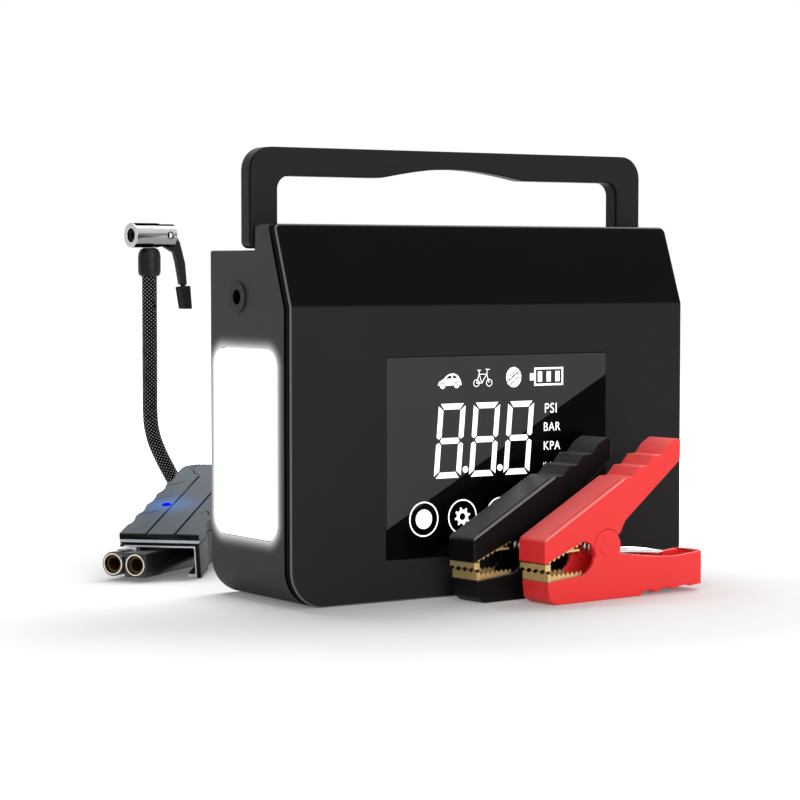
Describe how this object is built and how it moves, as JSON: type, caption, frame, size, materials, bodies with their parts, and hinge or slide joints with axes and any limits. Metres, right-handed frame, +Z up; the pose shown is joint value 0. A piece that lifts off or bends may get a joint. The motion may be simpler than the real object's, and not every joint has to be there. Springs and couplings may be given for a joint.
{
  "type": "jump starter pack",
  "caption": "Upright jump starter pack with folding handle, display window, side lamp, built-in compressor, battery clamps, lead module with plug, and air hose with lever chuck.",
  "frame": {"origin": "middle of the flat base of the main unit", "axes": "+Z up, the display faces -Y, +X to the right of someone who looks at the display"},
  "size_m": [0.2205, 0.2895, 0.1843],
  "materials": {
    "shell_plastic": "fine-grained moulded side and rear shell, dark grey",
    "cover_plastic": "fine-grained moulded front cover, darker grey",
    "display_pane": "glossy black window with a lit display behind it",
    "lamp_diffuser": "white diffuser, lit",
    "circuit_board": "green solder mask with moulded packages",
    "fitting_plastic": "semi-gloss black moulding",
    "flap_rubber": "soft matte flap",
    "handle_plastic": "fine-grained moulded handle",
    "inner_plastic": "natural nylon",
    "cell_wrap": "shrink-wrapped cell",
    "screw_steel": "plated screws and pins",
    "motor_steel": "drawn motor can",
    "cast_aluminium": "as cast",
    "gear_brass": "cut gear",
    "piston_plastic": "filled nylon",
    "soft_rubber": "matte black rubber",
    "clamp_red": "bright red moulding, satin",
    "clamp_black": "black moulding, satin",
    "jaw_brass": "bright plated contact metal",
    "spring_steel": "plated spring wire",
    "module_plastic": "smooth grey moulding, satin",
    "led_lens": "lit blue indicator",
    "plug_plastic": "black moulded plug",
    "hose_braid": "black braid over rubber hose, with light flecks",
    "chuck_chrome": "polished plated metal",
    "lever_plastic": "semi-gloss black moulding"
  },
  "bodies": {
    "root": {"main_shell": "shell_plastic", "front_cover": "cover_plastic", "rear_cover": "shell_plastic", "rear_screw_1": "screw_steel", "rear_screw_2": "screw_steel", "rear_screw_3": "screw_steel", "rear_screw_4": "screw_steel", "display_window": "display_pane", "display_board": "circuit_board", "lamp_lens": "lamp_diffuser", "lamp_board": "circuit_board", "air_port": "fitting_plastic", "output_socket": "fitting_plastic", "socket_flap_pin": "fitting_plastic", "usb_socket": "fitting_plastic", "handle_pin_left": "screw_steel", "handle_pin_right": "screw_steel", "battery_tray": "inner_plastic", "battery_cell_1": "cell_wrap", "battery_cell_2": "cell_wrap", "battery_cell_3": "cell_wrap", "battery_cell_4": "cell_wrap", "main_board": "circuit_board", "compressor_frame": "cast_aluminium", "compressor_motor": "motor_steel", "air_cylinder": "cast_aluminium", "air_pipe": "soft_rubber", "red_clamp_lower_shell": "clamp_red", "red_clamp_lower_jaw": "jaw_brass", "red_clamp_pin": "screw_steel", "red_clamp_spring": "spring_steel", "black_clamp_lower_shell": "clamp_black", "black_clamp_lower_jaw": "jaw_brass", "black_clamp_pin": "screw_steel", "black_clamp_spring": "spring_steel", "lead_module_top": "module_plastic", "lead_module_base": "module_plastic", "lead_module_board": "circuit_board", "lead_module_led": "led_lens", "plug_body": "plug_plastic", "plug_contact_left": "jaw_brass", "plug_contact_right": "jaw_brass", "hose_coupling": "chuck_chrome", "air_hose": "hose_braid", "hose_ferrule": "soft_rubber", "chuck_body": "chuck_chrome", "chuck_seal": "soft_rubber", "chuck_lever_pin": "screw_steel"},
    "handle": {"folding_handle": "handle_plastic"},
    "flap": {"socket_flap": "flap_rubber"},
    "red_clamp_arm": {"red_clamp_upper_shell": "clamp_red", "red_clamp_upper_jaw": "jaw_brass"},
    "black_clamp_arm": {"black_clamp_upper_shell": "clamp_black", "black_clamp_upper_jaw": "jaw_brass"},
    "lever": {"chuck_lever": "lever_plastic", "chuck_lever_grip": "soft_rubber"},
    "pinion": {"motor_pinion": "gear_brass"},
    "crank": {"crank_gear": "inner_plastic"},
    "plunger": {"piston": "piston_plastic"}
  },
  "joints": [
    {"name": "handle_fold", "type": "hinge", "parent": "root", "child": "handle", "pos_m": [0, 0.0023, 0.1475], "axis": [-1, 0, 0], "range_deg": [0, 90]},
    {"name": "socket_flap_open", "type": "hinge", "parent": "root", "child": "flap", "pos_m": [0.10205, 0.003, 0.107], "axis": [0, -1, 0], "range_deg": [0, 100]},
    {"name": "red_clamp_open", "type": "hinge", "parent": "root", "child": "red_clamp_arm", "pos_m": [0.0242, -0.0674, 0.0216], "axis": [-0.0872, 0.9962, 0], "range_deg": [0, 35], "stiffness_Nm_per_rad": 0.3, "springref_deg": -20.05},
    {"name": "black_clamp_open", "type": "hinge", "parent": "root", "child": "black_clamp_arm", "pos_m": [0.0044, -0.0462, 0.0216], "axis": [-0.0872, 0.9962, 0], "range_deg": [0, 35], "stiffness_Nm_per_rad": 0.3, "springref_deg": -20.05},
    {"name": "chuck_lever_turn", "type": "hinge", "parent": "root", "child": "lever", "pos_m": [-0.02763, 0.20494, 0.1508], "axis": [0.0872, -0.9962, 0], "range_deg": [0, 90]},
    {"name": "crank_turn", "type": "hinge", "parent": "root", "child": "crank", "pos_m": [0.0025, 0.003, 0.096], "axis": [1, 0, 0], "continuous": true},
    {"name": "motor_turn", "type": "hinge", "parent": "root", "child": "pinion", "pos_m": [0.0025, 0.003, 0.1153], "axis": [1, 0, 0], "continuous": true},
    {"name": "piston_slide", "type": "slide", "parent": "root", "child": "plunger", "axis": [0, 0, 1], "range_m": [-0.011, 0]}
  ],
  "couplings": [
    {"joint": "motor_turn", "follows": "crank_turn", "ratio": -3}
  ]
}
